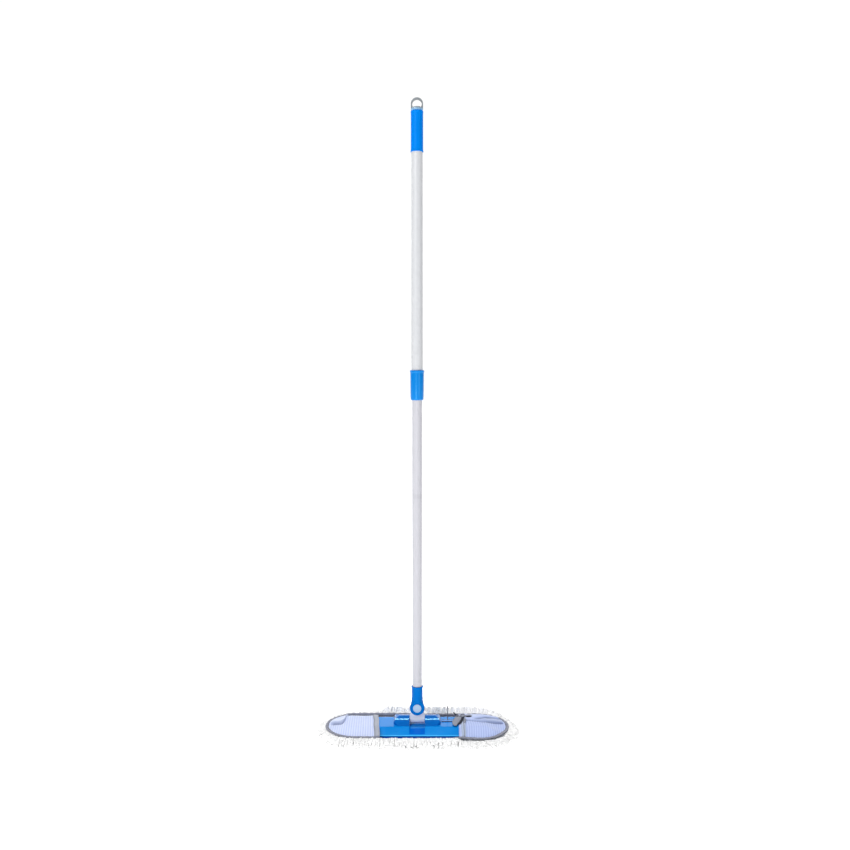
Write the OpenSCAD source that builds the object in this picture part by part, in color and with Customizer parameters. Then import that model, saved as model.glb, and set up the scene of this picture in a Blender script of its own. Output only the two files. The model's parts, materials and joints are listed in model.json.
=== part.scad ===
// Flat mop: telescopic pole, double-hinged head and a tuck-in pocket pad.
// Millimetres, +Z up, -Y is the front. The origin is on the floor under the pole's axis.

/* [Head] */
// Length of the deck plate, tip to tip
deck_l = 335; // [280:1:400]
// Width of the deck plate
deck_w = 96; // [80:1:120]
// Width of the deck's flat top
plateau_w = 52; // [40:1:60]
// Height of the deck's flat top above the floor
plateau_z = 24.5; // [20:0.5:30]
// Height of the deck's top edge at its rim
rim_z = 14; // [12:0.5:18]
// Half length of the flat top, before the wings slope down
wing_x = 134; // [110:1:150]
// Length of the hinge hub
hub_l = 93; // [70:1:110]
// Width of the hinge hub across its base
hub_w = 44; // [36:1:50]
// Height of the hub above the flat top
hub_h = 13; // [10:0.5:16]
// Width of the channel that the pole swings down into
channel_w = 30.6; // [28:0.2:40]

/* [Joints] */
// Height of the fore-and-aft hinge axis
hinge_z = 31; // [28:0.5:36]
// Radius of the hinge barrel
barrel_r = 8; // [6:0.5:10]
// Length of the hinge barrel
barrel_l = 29.4; // [26:0.5:40]
// Radius of the steel axle
axle_r = 2.5; // [2:0.1:4]
// Height of the side-to-side pivot axis
pivot_z = 55; // [50:0.5:66]
// Radius of the pivot pin
pin_r = 4; // [3:0.1:5]
// Thickness of the swivel's tongue
tongue_t = 10; // [8:0.5:12]
// Radial gap of the running fits
run_gap = 0.06; // [0.01:0.01:0.1]

/* [Socket] */
// Radius of the round boss at the pivot
boss_r = 14.6; // [13:0.1:18]
// Thickness of the fork, front to back
fork_t = 23; // [20:0.5:28]
// Radius of the socket's neck
neck_r = 10.85; // [10:0.05:13]
// Height of the socket's rim
socket_top = 96.5; // [88:0.5:110]

/* [Pole] */
// Outer radius of the upper tube
upper_r = 11; // [10:0.5:14]
// Outer radius of the lower tube
lower_r = 9.5; // [8:0.5:12]
// Wall of both tubes
tube_wall = 0.7; // [0.5:0.1:1.2]
// Height of the upper tube's lower end
upper_z0 = 672; // [600:1:760]
// Height of the upper tube's upper end
upper_z1 = 1205; // [1000:1:1400]
// Height of the lower tube's upper end
lower_z1 = 730; // [650:1:820]
// Height of the collar's lower end
collar_z0 = 658.4; // [600:0.1:740]
// Height of the collar's rim
collar_z1 = 716; // [650:0.5:800]
// Height of the grip's lower end
grip_z0 = 1131.5; // [1000:1:1300]
// Height of the grip's upper end
grip_z1 = 1209; // [1010:1:1410]
// Outer radius of the grip
grip_r = 11.8; // [11.5:0.1:16]
// Overall height to the top of the hanging loop
top_z = 1233.7; // [1030:0.1:1440]

/* [Pad] */
// Length of the pad's bound edge
pad_l = 361; // [300:1:430]
// Width of the pad's bound edge
pad_w = 126; // [110:1:170]
// Corner radius of the pad's bound edge
pad_corner = 62.5; // [40:0.5:62.5]
// Length over the fringe
fringe_l = 407; // [340:1:480]
// Width over the fringe
fringe_w = 178; // [140:1:210]
// Height of the fringe
fringe_h = 20; // [14:1:28]
// Thickness of the pile under the pad
pile_t = 8; // [5:0.5:12]
// Distance from the middle to the left pocket's mouth
left_mouth = 76; // [60:1:120]
// Distance from the middle to the right pocket's mouth
right_mouth = 83; // [60:1:120]
// Width of the tape on the left mouth
left_hem_w = 10; // [6:0.5:12]
// Width of the tape on the right mouth
right_hem_w = 8; // [6:0.5:12]

/* [Hidden] */
$fn = 72;
deck_z0 = pile_t + 2;
deck_t = 2.5;
bind_z = deck_z0 + 7;
skin = 1.2;
edge = 0.01;
hub_r = (hub_w * hub_w / 4 + hub_h * hub_h) / (2 * hub_h);
hub_axis_z = plateau_z + hub_h - hub_r;
notch_x = barrel_l / 2 + 0.5;
slot_y = tongue_t / 2 + 0.3;
lower_in = lower_r - tube_wall;
upper_in = upper_r - tube_wall;
loop_r = 11.6;
eye_r = 9.2;
pocket_z = plateau_z + 0.3 + skin;
hem_t = 0.8;
tent_x = wing_x + 10;
stud_r = 4;

// Points of the round between the edges a-p and p-b
function round_corner(a, p, b, r) =
  let (
    u = (a - p) / norm(a - p),
    v = (b - p) / norm(b - p),
    half = acos(u * v) / 2,
    c = p + (u + v) / norm(u + v) * r / sin(half),
    from = p + u * r / tan(half) - c,
    to = p + v * r / tan(half) - c,
    a0 = atan2(from[1], from[0]),
    turn = (atan2(to[1], to[0]) - a0 + 540) % 360 - 180
  ) [for (i = [0 : 6]) c + r * [cos(a0 + turn * i / 6), sin(a0 + turn * i / 6)]];

// An outline with its corners rounded, where a radius is not 0
function rounded_path(pts, radii) =
  let (n = len(pts)) [
    for (i = [0 : n - 1])
      each (radii[i] > 0 ? round_corner(pts[(i + n - 1) % n], pts[i], pts[(i + 1) % n], radii[i]) : [pts[i]])
  ];

// A flat shape drawn as [y, z], run along X
module along_x(x0, x1) {
  translate([x0, 0, 0])
    rotate([90, 0, 90])
      linear_extrude(x1 - x0)
        children();
}

// A flat shape drawn as [x, z], run along Y
module along_y(y0, y1) {
  translate([0, y1, 0])
    rotate([90, 0, 0])
      linear_extrude(y1 - y0)
        children();
}

// A solid of revolution about the line through [0, *, z], its profile drawn as [radius, y]
module about_y(z) {
  translate([0, 0, z])
    rotate([-90, 0, 0])
      rotate_extrude()
        children();
}

module ring(r_out, r_in, z0, z1) {
  translate([0, 0, z0])
    difference() {
      cylinder(r = r_out, h = z1 - z0);
      translate([0, 0, -1])
        cylinder(r = r_in, h = z1 - z0 + 2);
    }
}

module rounded(l, w, r) {
  for (sx = [-1, 1], sy = [-1, 1])
    translate([sx * (l / 2 - r), sy * (w / 2 - r)])
      circle(r);
  square([l - 2 * r, w], center = true);
  square([l, w - 2 * r], center = true);
}

// ---- deck ----

module deck_section(t) {
  half = plateau_w / 2 - t * 0.25;
  side = deck_w / 2 - t;
  foot = deck_z0 - (t > 0 ? 1 : 0);
  radii = t > 0 ? [0, 0, 0, 0, 0, 0] : [0, 0, 2.4, 4, 4, 2.4];
  polygon(rounded_path([
    [-side, foot], [side, foot], [side, rim_z - t * 0.7],
    [half, plateau_z - t], [-half, plateau_z - t], [-side, rim_z - t * 0.7]
  ], radii));
}

module deck_side(t) {
  tip = deck_l / 2 - t;
  radii = t > 0 ? [0, 0, 0, 0, 0, 0] : [0, 0, 2, 14, 14, 2];
  polygon(rounded_path([
    [-tip, deck_z0 - 2], [tip, deck_z0 - 2], [tip, rim_z - 1 - t * 0.7],
    [wing_x, plateau_z - t], [-wing_x, plateau_z - t], [-tip, rim_z - 1 - t * 0.7]
  ], radii));
}

module deck_form(t) {
  intersection() {
    along_x(-deck_l / 2, deck_l / 2)
      deck_section(t);
    along_y(-deck_w, deck_w)
      deck_side(t);
    linear_extrude(60)
      rounded(deck_l - 2 * t, deck_w - 2 * t, 47.5 - t);
  }
}

// The hollow that the socket swings down into, open at the top
module swing_channel() {
  intersection() {
    along_x(-channel_w / 2, channel_w / 2)
      polygon([[-44, 15.9], [-27, 21.5], [27, 21.5], [44, 15.9], [44, 45], [-44, 45]]);
    linear_extrude(60)
      rounded(channel_w, 56 + channel_w, 6);
  }
}

module deck_ribs() {
  for (x = [-120, -80, -40, 40, 80, 120])
    along_x(x - 1, x + 1)
      deck_section(0);
  for (y = [-17, 17])
    translate([-wing_x, y - 1, deck_z0])
      cube([2 * wing_x, 2, plateau_z - deck_z0 - 1]);
  along_x(-19.5, 19.5)
    deck_section(0);
}

module deck() {
  color([0.02, 0.45, 0.86])
    difference() {
      union() {
        difference() {
          deck_form(0);
          deck_form(deck_t);
        }
        deck_ribs();
      }
      swing_channel();
      translate([-notch_x, -9, 22])
        cube([2 * notch_x, 18, 20]);
      for (x = [-39, 39])
        translate([x, 0, 0]) {
          cylinder(r = 1.75, h = 40);
          cylinder(r = 3.75, h = plateau_z - 3);
        }
    }
}

// ---- hinge hub ----

module hub_half() {
  difference() {
    intersection() {
      along_x(notch_x, hub_l / 2)
        intersection() {
          translate([0, hub_axis_z])
            circle(hub_r);
          translate([-40, plateau_z])
            square([80, 40]);
        }
      along_y(-40, 40)
        rounded(hub_l, 2 * (plateau_z + hub_h), 12);
      linear_extrude(60)
        rounded(hub_l, hub_w + 2, 15);
    }
    along_x(0, 30)
      translate([0, hinge_z])
        circle(axle_r);
    translate([39, 0, 0])
      cylinder(r = 1.75, h = 34);
  }
}

module hub_right() {
  color([0.02, 0.42, 0.82])
    hub_half();
}

module hub_left() {
  color([0.02, 0.42, 0.82])
    mirror([1, 0, 0])
      hub_half();
}

module hub_screw(x) {
  color([0.7, 0.7, 0.72])
    translate([x, 0, 0])
      difference() {
        union() {
          translate([0, 0, 19.3])
            cylinder(r = 3.5, h = plateau_z - 3 - 19.3);
          translate([0, 0, 21])
            cylinder(r = 1.75, h = 12.5);
        }
        for (a = [0, 90])
          translate([0, 0, 19.5])
            rotate([0, 0, a])
              cube([4, 0.9, 1.4], center = true);
      }
}

module hub_screw_left() {
  hub_screw(-39);
}

module hub_screw_right() {
  hub_screw(39);
}

module hinge_axle() {
  color([0.75, 0.76, 0.78])
    along_x(-30, 30)
      translate([0, hinge_z])
        circle(axle_r);
}

// ---- pad ----

module pad_cloth() {
  color([0.86, 0.88, 0.95])
    translate([0, 0, pile_t])
      linear_extrude(2)
        rounded(pad_l, pad_w, pad_corner);
}

module binding() {
  color([0.58, 0.61, 0.67])
    translate([0, 0, deck_z0])
      linear_extrude(bind_z - deck_z0)
        difference() {
          rounded(pad_l, pad_w, pad_corner);
          rounded(pad_l - 16, pad_w - 16, pad_corner - 8);
        }
}

module sole_pile() {
  color([0.95, 0.95, 0.95])
    linear_extrude(pile_t)
      rounded(pad_l, pad_w, pad_corner);
}

module fringe() {
  color([0.97, 0.97, 0.97])
    difference() {
      hull() {
        linear_extrude(edge)
          rounded(fringe_l - 8, fringe_w - 8, 81);
        translate([0, 0, 5])
          linear_extrude(6)
            rounded(fringe_l, fringe_w, 85);
        translate([0, 0, fringe_h - edge])
          linear_extrude(edge)
            rounded(fringe_l - 18, fringe_w - 18, 76);
      }
      translate([0, 0, -1])
        linear_extrude(fringe_h + 2)
          rounded(pad_l, pad_w, pad_corner);
    }
}

// One half of the tent of cloth over a wing, as a solid block
module tent(t, mouth) {
  hull() {
    translate([0, 0, bind_z - (t > 0 ? 0.3 : 0)])
      linear_extrude(0.2)
        intersection() {
          rounded(pad_l - 12 - 2 * t, pad_w - 12 - 2 * t, pad_corner - 6 - t, $fn = 48);
          translate([mouth, -pad_w / 2])
            square([pad_l, pad_w]);
        }
    translate([0, 0, pocket_z - 0.2 - t])
      linear_extrude(0.2)
        translate([mouth, -plateau_w / 2 - 1.5 + t])
          square([tent_x - t - mouth, plateau_w + 3 - 2 * t]);
  }
}

module pocket(mouth) {
  difference() {
    tent(0, mouth);
    translate([-0.01, 0, 0])
      tent(skin, mouth);
  }
}

module right_pocket() {
  color([0.72, 0.78, 0.93])
    pocket(right_mouth);
}

module left_pocket() {
  color([0.8, 0.84, 0.95])
    mirror([1, 0, 0])
      pocket(left_mouth);
}

// The tape that edges a pocket's mouth, laid over the cloth
module hem(x0, w) {
  foot = pad_w / 2 - 6;
  half = plateau_w / 2 + 1.5;
  along_x(x0, x0 + w)
    polygon([
      [-foot, bind_z + 0.2], [-foot, bind_z + 0.2 + hem_t], [-half, pocket_z + hem_t],
      [half, pocket_z + hem_t], [foot, bind_z + 0.2 + hem_t], [foot, bind_z + 0.2],
      [half, pocket_z], [-half, pocket_z]
    ]);
}

module left_hem() {
  color([0.62, 0.68, 0.76])
    hem(-left_mouth - left_hem_w, left_hem_w);
}

module right_hem() {
  color([0.62, 0.68, 0.76])
    hem(right_mouth + 5, right_hem_w);
}

// A flat tape from the knot: length, lift and width, turned about Z
module tail(l, lift, w, turn) {
  rotate([0, 0, turn])
    along_y(-w / 2, w / 2)
      polygon([
        [0, 1.5], [l * 0.5, 1.5 + lift * 0.7], [l, 0.4 + lift],
        [l, 1.6 + lift], [l * 0.5, 3 + lift * 0.7], [0, 3]
      ]);
}

module tie_tape() {
  color([0.48, 0.52, 0.6])
    translate([89, 12, pocket_z + hem_t]) {
      cylinder(r = 5, h = 5);
      tail(24, 7, 7, 137);
      tail(17, 0, 7, 8);
      tail(34, 0, 7, 257);
    }
}

// The flat foot and the thin stem of the tag holder on the deck
module tag_base() {
  color([0.1, 0.3, 0.6])
    translate([60, 4.5, plateau_z])
      difference() {
        linear_extrude(1.2)
          rounded(24, 12, 2);
        translate([0, 3, -1])
          cylinder(r = 0.8, h = 4, $fn = 24);
      }
}

module tag_pin() {
  color([0.35, 0.37, 0.4])
    translate([60, 7.5, plateau_z])
      cylinder(r = 0.8, h = 29, $fn = 24);
}

// ---- swivel and socket ----

module swivel_block() {
  color([0.7, 0.76, 0.86])
    difference() {
      union() {
        translate([-barrel_l / 2, 0, hinge_z])
          rotate([0, 90, 0])
            rotate_extrude()
              polygon([
                [0, 0], [barrel_r - 0.7, 0], [barrel_r, 0.7],
                [barrel_r, barrel_l - 0.7], [barrel_r - 0.7, barrel_l], [0, barrel_l]
              ]);
        along_y(-tongue_t / 2, tongue_t / 2)
          union() {
            translate([0, pivot_z])
              circle(12.5);
            polygon([
              [-15, hinge_z], [15, hinge_z], [14, hinge_z + 8.5], [12.4, hinge_z + 13],
              [12.4, pivot_z], [-12.4, pivot_z], [-12.4, hinge_z + 13], [-14, hinge_z + 8.5]
            ]);
          }
      }
      along_x(-barrel_l, barrel_l)
        translate([0, hinge_z])
          circle(axle_r + run_gap);
      along_y(-tongue_t, tongue_t)
        translate([0, pivot_z])
          circle(pin_r + run_gap);
    }
}

module socket() {
  flare_z = 20.5;
  spread = boss_r - neck_r;
  flare = [for (i = [0 : 12]) [neck_r + spread * pow(1 - i / 12, 1.23), pivot_z + flare_z * i / 12]];
  neck_z = pivot_z + flare_z;
  half = fork_t / 2;
  color([0.02, 0.44, 0.82])
    difference() {
      union() {
        about_y(pivot_z)
          polygon([
            [0, -half], [boss_r - 3, -half], [boss_r - 1.5, -half + 0.5], [boss_r - 0.5, -half + 1.5],
            [boss_r, -half + 3], [boss_r, -3], [boss_r - 0.2, 0], [boss_r - 0.9, 3], [boss_r - 1.9, 5.6],
            [boss_r - 3.1, 8], [boss_r - 4.4, 10], [boss_r - 5.8, half], [0, half]
          ]);
        intersection() {
          rotate_extrude()
            polygon(concat([[0, pivot_z]], flare, [[0, neck_z]]));
          translate([-20, -half, 0])
            cube([40, fork_t, 120]);
        }
        rotate_extrude()
          polygon([
            [0, neck_z], [neck_r, neck_z], [neck_r, socket_top - 3.4], [neck_r + 0.6, socket_top - 2.6],
            [neck_r + 1, socket_top - 1.6], [neck_r + 1, socket_top - 0.4], [neck_r + 0.6, socket_top],
            [0, socket_top]
          ]);
      }
      along_x(-30, 30)
        translate([-slot_y, 30])
          square([2 * slot_y, 41]);
      translate([0, 0, 79])
        cylinder(r = lower_r, h = 30);
      along_y(-half - 1, half + 1)
        translate([0, pivot_z])
          circle(pin_r);
      translate([0, 0, 88])
        rotate([-90, 0, 0])
          cylinder(r = 1.5, h = 20, $fn = 32);
    }
}

module pivot_pin() {
  face = fork_t / 2;
  color([0.68, 0.77, 0.88])
    about_y(pivot_z)
      polygon([
        [0, -face - 1.5], [5, -face - 1.5], [7.4, -face - 1.1], [8.1, -face - 0.5], [8.1, -face],
        [pin_r, -face], [pin_r, face - 0.5], [0, face - 0.5]
      ]);
}

module pivot_cap() {
  face = fork_t / 2;
  color([0.68, 0.77, 0.88])
    about_y(pivot_z)
      polygon([
        [0, face - 0.5], [pin_r, face - 0.5], [pin_r, face],
        [7, face], [6.4, face + 0.8], [0, face + 1]
      ]);
}

module tube_insert() {
  color([0.85, 0.86, 0.88])
    difference() {
      translate([0, 0, 79])
        cylinder(r = lower_in, h = 30);
      translate([0, 0, 88])
        rotate([-90, 0, 0])
          cylinder(r = 1.5, h = 20, $fn = 32);
      translate([0, 0, 96])
        cylinder(r = lower_in - 2, h = 30);
    }
}

module socket_screw() {
  color([0.72, 0.73, 0.75])
    translate([0, 0, 88])
      rotate([-90, 0, 0]) {
        cylinder(r = 1.5, h = neck_r + 0.2, $fn = 32);
        translate([0, 0, neck_r])
          cylinder(r = 3, h = 1.4, $fn = 32);
      }
}

// ---- pole ----

module lower_tube() {
  color([0.9, 0.9, 0.91])
    difference() {
      ring(lower_r, lower_in, 79, lower_z1);
      translate([0, 0, 88])
        rotate([-90, 0, 0])
          cylinder(r = 1.5, h = 20, $fn = 32);
    }
}

module lower_plug() {
  color([0.3, 0.31, 0.33])
    difference() {
      union() {
        translate([0, 0, lower_z1 - 30])
          cylinder(r = lower_in, h = 30);
        translate([0, 0, lower_z1])
          cylinder(r = lower_r, h = 3);
      }
      translate([0, 0, lower_z1 - 15])
        cylinder(r = stud_r, h = 30);
    }
}

module lock_stud() {
  color([0.72, 0.73, 0.75])
    translate([0, 0, lower_z1 - 15])
      cylinder(r = stud_r, h = 63);
}

module stud_cap() {
  color([0.3, 0.31, 0.33])
    translate([0, 0, lower_z1 + 48])
      cylinder(r = 6.5, h = 5);
}

// Split sleeve that the cone spreads against the upper tube's wall
module lock_sleeve() {
  z0 = lower_z1 + 3.4;
  color([0.92, 0.92, 0.9])
    difference() {
      translate([0, 0, z0])
        cylinder(r = upper_in - 0.08, h = 44);
      translate([0, 0, z0 - 1])
        cylinder(r = 8.6, h = 3);
      translate([0, 0, z0 + 2])
        cylinder(r1 = 8.6, r2 = 5.6, h = 30);
      cylinder(r = stud_r + run_gap, h = z0 + 60);
      for (a = [45, 135])
        translate([0, 0, z0 + 14])
          rotate([0, 0, a])
            cube([40, 1.6, 30], center = true);
    }
}

module lock_cone() {
  z0 = lower_z1 + 5.5;
  color([0.25, 0.26, 0.28])
    difference() {
      translate([0, 0, z0])
        cylinder(r1 = 8.45, r2 = 5.75, h = 27);
      translate([0, 0, z0 - 1])
        cylinder(r = stud_r + run_gap, h = 40);
    }
}

module upper_tube() {
  color([0.92, 0.92, 0.93])
    ring(upper_r, upper_in, upper_z0, upper_z1);
}

module lock_collar() {
  color([0.03, 0.5, 0.88])
    rotate_extrude()
      polygon([
        [10.2, collar_z0], [11.6, collar_z0], [12.1, collar_z0 + 0.8], [12.45, collar_z0 + 2.4],
        [12.75, collar_z0 + 7], [12.95, collar_z0 + 18], [13.1, collar_z0 + 34], [13.2, collar_z1 - 6],
        [13.4, collar_z1 - 4.2], [13.8, collar_z1 - 3.4], [14, collar_z1 - 2.2], [13.95, collar_z1 - 0.9],
        [13.4, collar_z1], [upper_r, collar_z1], [upper_r, collar_z0 + 2.4], [10.2, collar_z0 + 2.4]
      ]);
}

module collar_bush() {
  color([0.85, 0.86, 0.88])
    ring(upper_r, lower_r + 0.08, collar_z0 + 2.4, upper_z0);
}

module grip() {
  color([0.02, 0.5, 0.9])
    rotate_extrude()
      polygon([
        [upper_r, grip_z0], [grip_r + 0.3, grip_z0], [grip_r + 0.6, grip_z0 + 0.6],
        [grip_r + 0.6, grip_z0 + 1.8], [grip_r + 0.2, grip_z0 + 3.4], [grip_r, grip_z0 + 6],
        [grip_r, grip_z1 - 6], [grip_r + 0.15, grip_z1 - 4], [grip_r + 0.35, grip_z1 - 2.6],
        [grip_r + 0.3, grip_z1 - 1.2], [grip_r - 0.3, grip_z1], [upper_r, grip_z1]
      ]);
}

module top_plug() {
  color([0.55, 0.58, 0.62])
    difference() {
      union() {
        translate([0, 0, upper_z1 - 22])
          cylinder(r = upper_in, h = 22);
        translate([0, 0, upper_z1])
          cylinder(r = upper_r, h = grip_z1 - upper_z1);
      }
      translate([0, 0, upper_z1 - 23])
        cylinder(r = stud_r + run_gap, h = 40);
    }
}

module hang_loop() {
  loop_z = top_z - loop_r;
  color([0.66, 0.69, 0.72])
    union() {
      along_y(-3.5, 3.5)
        difference() {
          union() {
            translate([0, loop_z])
              circle(loop_r);
            translate([-loop_r, grip_z1 + 2])
              square([2 * loop_r, loop_z - grip_z1 - 2]);
          }
          intersection() {
            translate([0, top_z - 3.2 - eye_r])
              circle(eye_r);
            translate([-20, grip_z1 + 6.5])
              square([40, 40]);
          }
          translate([-20, 0])
            square([40, grip_z1 + 2]);
        }
      rotate_extrude()
        polygon([
          [0, grip_z1 + 0.2], [10.6, grip_z1 + 0.2], [11, grip_z1 + 0.8], [11, grip_z1 + 5.4],
          [10.4, grip_z1 + 6.5], [0, grip_z1 + 6.5]
        ]);
      translate([0, 0, upper_z1 - 23])
        cylinder(r = stud_r, h = grip_z1 - upper_z1 + 24);
      translate([0, 0, upper_z1 - 26])
        cylinder(r1 = 4.5, r2 = 6, h = 3.6);
    }
}

deck();
hub_left();
hub_right();
hub_screw_left();
hub_screw_right();
hinge_axle();
pad_cloth();
binding();
sole_pile();
fringe();
left_pocket();
right_pocket();
left_hem();
right_hem();
tie_tape();
tag_base();
tag_pin();
swivel_block();
socket();
pivot_pin();
pivot_cap();
tube_insert();
socket_screw();
lower_tube();
lower_plug();
lock_stud();
stud_cap();
lock_sleeve();
lock_cone();
upper_tube();
lock_collar();
collar_bush();
grip();
top_plug();
hang_loop();
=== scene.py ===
"""A flat mop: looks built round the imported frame. Metres, +Z up, -Y is the front."""

import json
import math

import bpy
import numpy as np
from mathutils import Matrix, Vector
from mathutils.bvhtree import BVHTree


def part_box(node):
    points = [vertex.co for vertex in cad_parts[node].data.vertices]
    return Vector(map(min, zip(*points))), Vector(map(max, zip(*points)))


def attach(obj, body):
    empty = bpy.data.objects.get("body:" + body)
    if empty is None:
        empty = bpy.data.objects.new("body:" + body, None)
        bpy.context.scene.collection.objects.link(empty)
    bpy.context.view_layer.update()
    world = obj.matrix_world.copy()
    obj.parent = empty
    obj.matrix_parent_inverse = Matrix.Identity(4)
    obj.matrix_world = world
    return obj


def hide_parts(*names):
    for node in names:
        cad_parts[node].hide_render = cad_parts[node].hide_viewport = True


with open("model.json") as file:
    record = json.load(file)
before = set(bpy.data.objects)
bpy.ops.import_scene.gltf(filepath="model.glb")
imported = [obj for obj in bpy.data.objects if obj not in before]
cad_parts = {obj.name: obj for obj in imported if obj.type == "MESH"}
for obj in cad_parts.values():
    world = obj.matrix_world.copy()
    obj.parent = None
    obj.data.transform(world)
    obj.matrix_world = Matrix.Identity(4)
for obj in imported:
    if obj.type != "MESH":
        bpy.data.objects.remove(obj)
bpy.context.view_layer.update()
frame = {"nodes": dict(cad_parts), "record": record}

NODES = frame["nodes"]
MM = 0.001
UP = np.array([0, 0, 1])
rng = np.random.default_rng(7)


# ---------------------------------------------------------------- materials

# noise scales, in grains per metre
DRIFT, SMEAR, SKIN, FIBRE = 24, 60, 900, 1500
EIGHTH_TURN = 0.785


class Nodes:
    """A short way to write a material's node tree."""

    def __init__(self, name):
        self.mat = bpy.data.materials.new(name)
        self.mat.use_nodes = True
        self.tree = self.mat.node_tree
        self.tree.nodes.clear()
        self.out = self.tree.nodes.new("ShaderNodeOutputMaterial")
        self.bsdf = self.tree.nodes.new("ShaderNodeBsdfPrincipled")
        self.link(self.bsdf.outputs[0], self.out.inputs["Surface"])
        self.place = self.tree.nodes.new("ShaderNodeTexCoord").outputs["Object"]

    def link(self, a, b):
        self.tree.links.new(a, b)

    def put(self, socket, value):
        """Links a node's output to a socket, or sets a plain value on it."""
        if isinstance(value, bpy.types.NodeSocket):
            self.link(value, socket)
        else:
            socket.default_value = value

    def set(self, **values):
        """Sets the shader's own sockets."""
        for key, value in values.items():
            self.put(self.bsdf.inputs[key.replace("_", " ")], value)

    def node(self, kind, out=0, **inputs):
        """Adds a node with its properties and inputs, and gives one of its outputs."""
        n = self.tree.nodes.new("ShaderNode" + kind)
        for key, value in inputs.items():
            if hasattr(n, key):
                setattr(n, key, value)
            else:
                self.put(n.inputs[key.replace("_", " ")], value)
        return n.outputs[out]

    def attribute(self, name):
        """A number that paint() gave the mesh's points."""
        return self.node("Attribute", 2, attribute_name=name)

    def scaled(self, x, y, z):
        return self.node("Mapping", Vector=self.place, Scale=(x, y, z))

    def turned(self, x, y, z):
        return self.node("Mapping", Vector=self.place, Rotation=(x, y, z))

    def noise(self, scale, detail=2.0, rough=0.5, at=None):
        return self.node("TexNoise", Vector=at or self.place, Scale=scale, Detail=detail, Roughness=rough)

    def axis(self, which):
        return self.node("SeparateXYZ", which, Vector=self.place)

    def math(self, operation, a, b=0.0, c=0.0):
        n = self.tree.nodes.new("ShaderNodeMath")
        n.operation = operation
        for socket, value in zip(n.inputs, (a, b, c)):
            self.put(socket, value)
        return n.outputs[0]

    def times(self, a, b):
        return self.math("MULTIPLY", a, b)

    def sum(self, a, share, b):
        """a times share, plus b."""
        return self.math("MULTIPLY_ADD", a, share, b)

    def away(self, which, centre=None):
        """Distance along an axis from centre, or from the origin."""
        at = self.axis(which)
        return self.math("ABSOLUTE", at if centre is None else self.math("SUBTRACT", at, centre))

    def ramp(self, value, low, high, a=0.0, b=1.0):
        return self.node("MapRange", Value=value, From_Min=a, From_Max=b, To_Min=low, To_Max=high)

    def vary(self, noise, low, high):
        """Spreads the usual span of a noise over low to high."""
        return self.ramp(noise, low, high, 0.3, 0.7)

    def rise(self, value, a, b):
        return self.ramp(value, 0, 1, a, b)

    def fall(self, value, a, b):
        return self.ramp(value, 1, 0, a, b)

    def mix(self, factor, a, b):
        n = self.tree.nodes.new("ShaderNodeMix")
        n.data_type = "RGBA"
        self.put(n.inputs["Factor"], factor)
        for socket, colour in ((n.inputs[6], a), (n.inputs[7], b)):
            self.put(socket, colour if isinstance(colour, bpy.types.NodeSocket) else (*colour, 1))
        return n.outputs[2]

    def bump(self, height, distance):
        self.set(Normal=self.node("Bump", Height=height, Distance=distance, Strength=1.0))


def shaded(colour, share):
    return [c * share for c in colour]


def plastic(name, colour, rough=0.22, texture=0.000004, level=0.35, tint=(1, 1, 1), tone=None):
    """Moulded plastic: a little tone drift, uneven gloss and a faint skin."""
    n = Nodes(name)
    drift = n.mix(n.noise(DRIFT, 3), shaded(colour, 0.86), colour)
    n.set(Base_Color=tone(n, drift) if tone else drift, Specular_Tint=(*tint, 1))
    smear = n.noise(SMEAR, 4, 0.6, n.scaled(1, 1, 0.25))
    n.set(Roughness=n.vary(smear, rough * 0.8, rough * 1.25), Specular_IOR_Level=level)
    n.bump(n.noise(SKIN, 2), texture)
    return n.mat


def deck_painted_light(n, plain):
    """Painted light on the deck: a painted highlight along its rounded front and back edges, painted shade on the
    upright walls below them, and painted shade in the socket's hollow.
    """
    highlight_blue, wall_shade_blue, hollow_shade_blue = (0.06, 0.5, 0.95), (0.0, 0.055, 0.34), (0.0, 0.12, 0.6)
    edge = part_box("deck")[1].y
    y, x = n.away(1), n.away(0)
    # painted highlight: pale cyan on the rounded edge at the front and back
    pale = n.times(n.rise(y, edge - 3.4 * MM, edge - 2.2 * MM), n.fall(y, edge - 1.2 * MM, edge - 0.6 * MM))
    # painted shade: dark navy on the upright wall below that edge
    wall_shade = n.rise(y, edge - 0.9 * MM, edge - 0.3 * MM)
    # painted shade: darker blue in the socket's hollow
    hollow_shade = n.times(n.fall(x, 14.5 * MM, 15.5 * MM), n.rise(y, 24 * MM, 29 * MM))
    hollow_shade = n.times(hollow_shade, n.fall(y, 42.5 * MM, 43.7 * MM))
    return n.mix(wall_shade, n.mix(pale, n.mix(hollow_shade, plain, hollow_shade_blue), highlight_blue), wall_shade_blue)


def cap_plastic(name, colour, tint, top):
    """Satin grey moulding; below top its colour turns to a painted blue reflection of the grip."""
    n = Nodes(name)
    drift = n.mix(n.noise(SMEAR, 3), shaded(colour, 0.7), colour)
    # painted reflection: below top the grey is mixed towards the grip's blue
    blue = n.fall(n.axis(2), top - 5.5 * MM, top - 0.5 * MM)
    n.set(Base_Color=n.mix(blue, drift, tint), Roughness=n.vary(n.noise(200, 3), 0.34, 0.46))
    n.bump(n.noise(SKIN, 2), 0.00001)
    return n.mat


def powder_coat(name, colour, band_z=None):
    """White coated tube with fine orange peel and, where asked, a faint darker ring at height band_z."""
    n = Nodes(name)
    tone = n.mix(n.noise(14, 3), shaded(colour, 0.97), colour)
    if band_z:
        ring = n.ramp(n.away(2, band_z), 0.5, 0.0, 3.5 * MM, 5.5 * MM)
        tone = n.mix(ring, tone, shaded(colour, 0.86))
    scuff = n.noise(90, 2, 0.5, n.scaled(1, 1, 0.1))
    n.set(Base_Color=tone, Roughness=n.vary(scuff, 0.3, 0.37), Specular_IOR_Level=0.4)
    n.bump(n.noise(700, 2), 0.000012)
    return n.mat


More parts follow.
